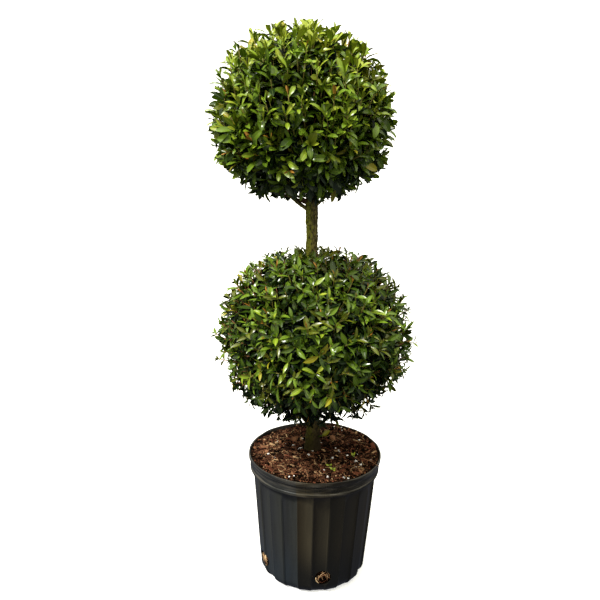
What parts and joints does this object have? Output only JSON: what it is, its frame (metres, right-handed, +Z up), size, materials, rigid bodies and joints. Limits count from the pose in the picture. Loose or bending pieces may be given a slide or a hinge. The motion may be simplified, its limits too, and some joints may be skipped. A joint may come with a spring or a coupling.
{
  "type": "potted eugenia double ball topiary",
  "caption": "Ball topiary: dense clipped leaf balls one above the other on a bare stem, rooted in bark mix in a round fluted nursery pot.",
  "frame": {"origin": "centre of the pot's flat underside, on the ground", "axes": "+Z up the stem, +X to the right and +Y away from the viewer of the front"},
  "size_m": [0.4244, 0.4054, 1.1827],
  "materials": {
    "pot": "satin charcoal moulded plastic",
    "soil": "rough moist bark mix",
    "bark": "olive brown bark with a green film of moss",
    "foliage": "glossy leaves"
  },
  "bodies": {
    "root": {"pot": "pot", "soil": "soil", "trunk": "bark", "bough_upper_left": "bark", "bough_upper_back": "bark", "bough_upper_right": "bark", "bough_lower_left": "bark", "bough_lower_right": "bark", "bough_lower_back": "bark", "lower_ball": "foliage", "upper_ball": "foliage"}
  },
  "joints": []
}
